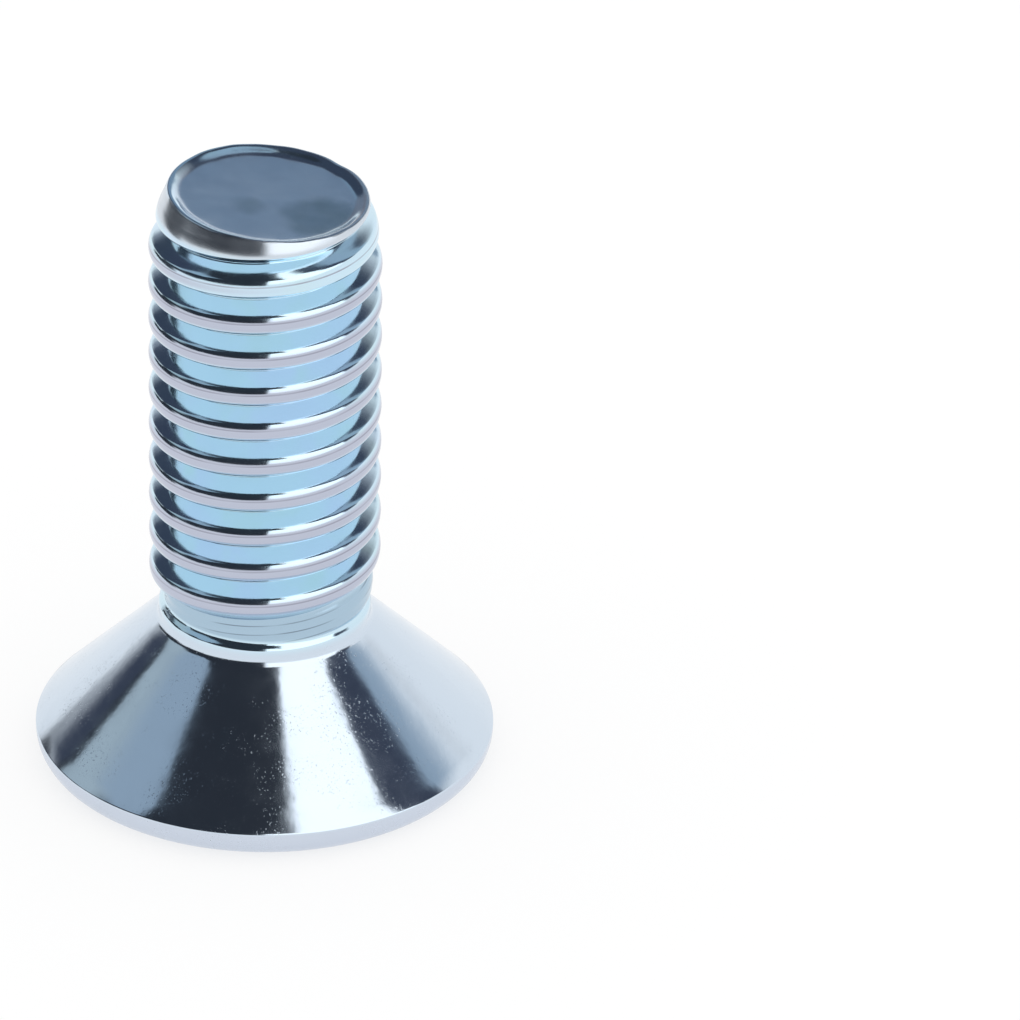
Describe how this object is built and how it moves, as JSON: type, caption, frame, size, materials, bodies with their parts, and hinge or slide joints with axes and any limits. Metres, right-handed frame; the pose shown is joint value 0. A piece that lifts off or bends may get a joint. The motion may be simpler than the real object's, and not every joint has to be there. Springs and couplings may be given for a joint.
{
  "type": "hex socket countersunk cap screw",
  "caption": "Countersunk cap screw with a flat 90 degree head, a hexagon socket and a coarse metric thread up to the head.",
  "frame": {"origin": "centre of the head's flat face, which the screw stands on and from which its length is measured", "axes": "+Z along the screw's axis from the head's face to the tip; +X through a corner of the hexagon socket, +Y square to one of its flats"},
  "size_m": [0.0116, 0.0116, 0.016],
  "materials": {
    "zinc_plated_steel": "bright zinc plating with a clear blue passivation, mirror-like on the cone and thread, satin on the head's face"
  },
  "bodies": {
    "root": {"countersunk_screw": "zinc_plated_steel"}
  },
  "joints": []
}
